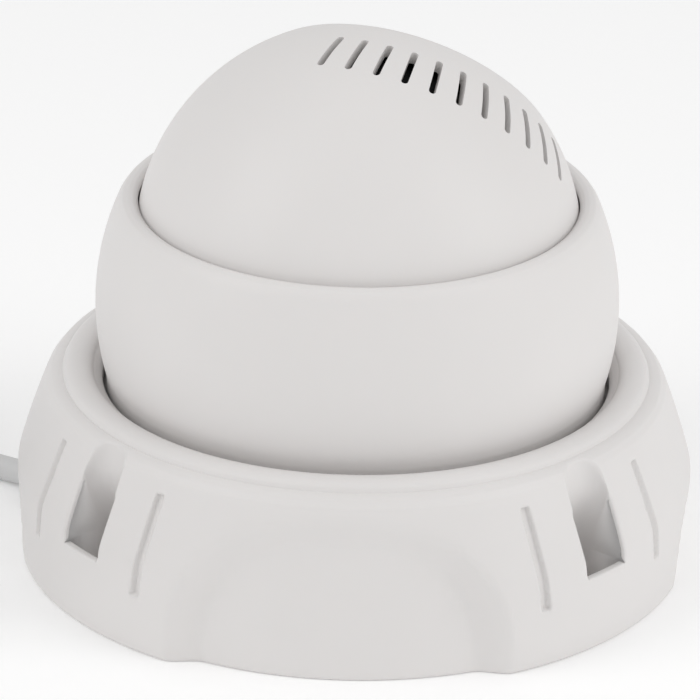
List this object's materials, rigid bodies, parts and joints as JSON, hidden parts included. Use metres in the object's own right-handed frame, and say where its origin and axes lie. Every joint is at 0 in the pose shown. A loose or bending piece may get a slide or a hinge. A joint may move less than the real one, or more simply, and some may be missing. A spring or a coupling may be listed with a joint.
{
  "type": "dome cctv camera",
  "caption": "White plastic eyeball dome security camera: lobed screw-down base, clamping collar, swivelling ball with vent slots and infrared window, and a pigtail lead.",
  "frame": {"origin": "centre of the base's underside, on the surface it is fixed to", "axes": "+Z away from that surface through the middle of the base; -Y towards the broad front arch of the base; the ball looks towards +Y, up and a little to +X at rest"},
  "size_m": [0.1964, 0.1127, 0.0977],
  "materials": {
    "white_shell": "fine satin moulding",
    "back_plate": "satin moulding",
    "screw_steel": "zinc plated",
    "spring_steel": "bright",
    "seal_rubber": "matte",
    "grip_rubber": "matte",
    "dark_plastic": "matte",
    "baffle_foam": "open foam",
    "window_glass": "clear, dark tint",
    "lens_glass": "coated",
    "circuit_board": "solder mask",
    "sensor_cell": "resin",
    "post_brass": "bright",
    "header_nylon": "satin",
    "carriage_nylon": "satin",
    "inner_sheath": "satin",
    "lead_sheath": "satin",
    "boot_plastic": "matte",
    "socket_metal": "nickel plated",
    "contact_brass": "gold flashed"
  },
  "bodies": {
    "base": {"back_plate": "back_plate", "back_plate_screw_1": "screw_steel", "back_plate_screw_2": "screw_steel", "back_plate_screw_3": "screw_steel", "base_shell": "white_shell", "cable_coil": "lead_sheath", "cable_end": "lead_sheath", "cable_gland": "seal_rubber", "cable_lead": "lead_sheath", "cable_splitter": "boot_plastic", "coil_tie": "boot_plastic", "collar_gasket": "seal_rubber", "inner_cable_base": "inner_sheath", "power_boot": "boot_plastic", "power_pin": "contact_brass", "power_socket": "boot_plastic", "power_tail": "lead_sheath", "video_boot": "boot_plastic", "video_contact": "contact_brass", "video_socket": "socket_metal", "video_tail": "lead_sheath", "wave_spring": "spring_steel"},
    "collar": {"collar": "white_shell", "friction_ring": "grip_rubber"},
    "carriage": {"seat_carriage": "carriage_nylon", "inner_cable_ball": "inner_sheath"},
    "swivel": {"cable_grommet": "seal_rubber"},
    "lens": {"lens_barrel": "dark_plastic", "lens_glass": "lens_glass"},
    "ball": {"ball_housing": "white_shell", "rear_cap": "white_shell", "rear_cap_screw_1": "screw_steel", "rear_cap_screw_2": "screw_steel", "dust_screen": "dark_plastic", "front_window": "window_glass", "window_gasket": "seal_rubber", "chassis_ring": "dark_plastic", "ir_led_board": "circuit_board", "photocell": "sensor_cell", "light_baffle": "baffle_foam", "lens_holder": "dark_plastic", "image_sensor": "dark_plastic", "sensor_board": "circuit_board", "power_board": "circuit_board", "front_post_1": "post_brass", "front_post_2": "post_brass", "front_post_3": "post_brass", "front_post_4": "post_brass", "rear_post_1": "post_brass", "rear_post_2": "post_brass", "rear_post_3": "post_brass", "rear_post_4": "post_brass", "cable_header": "header_nylon", "led_wires": "inner_sheath"}
  },
  "joints": [
    {"name": "collar_twist", "type": "hinge", "parent": "base", "child": "collar", "pos_m": [0, 0, 0.0473], "axis": [0, 0, 1], "range_deg": [0, 24]},
    {"name": "pan", "type": "hinge", "parent": "base", "child": "carriage", "pos_m": [0, 0, 0.0142], "axis": [0, 0, 1], "range_deg": [-172, 172]},
    {"name": "tilt", "type": "hinge", "parent": "carriage", "child": "swivel", "pos_m": [0, 0, 0.0581], "axis": [0.9516, -0.3074, 0], "range_deg": [-20, 53], "deforming": ["inner_cable_ball"]},
    {"name": "roll", "type": "hinge", "parent": "swivel", "child": "ball", "pos_m": [0, 0, 0.0581], "axis": [0.2458, 0.761, 0.6004], "range_deg": [-172, 172]},
    {"name": "focus", "type": "hinge", "parent": "ball", "child": "lens", "pos_m": [0.00332, 0.01027, 0.06621], "axis": [0.2458, 0.761, 0.6004], "range_deg": [-90, 90]}
  ]
}
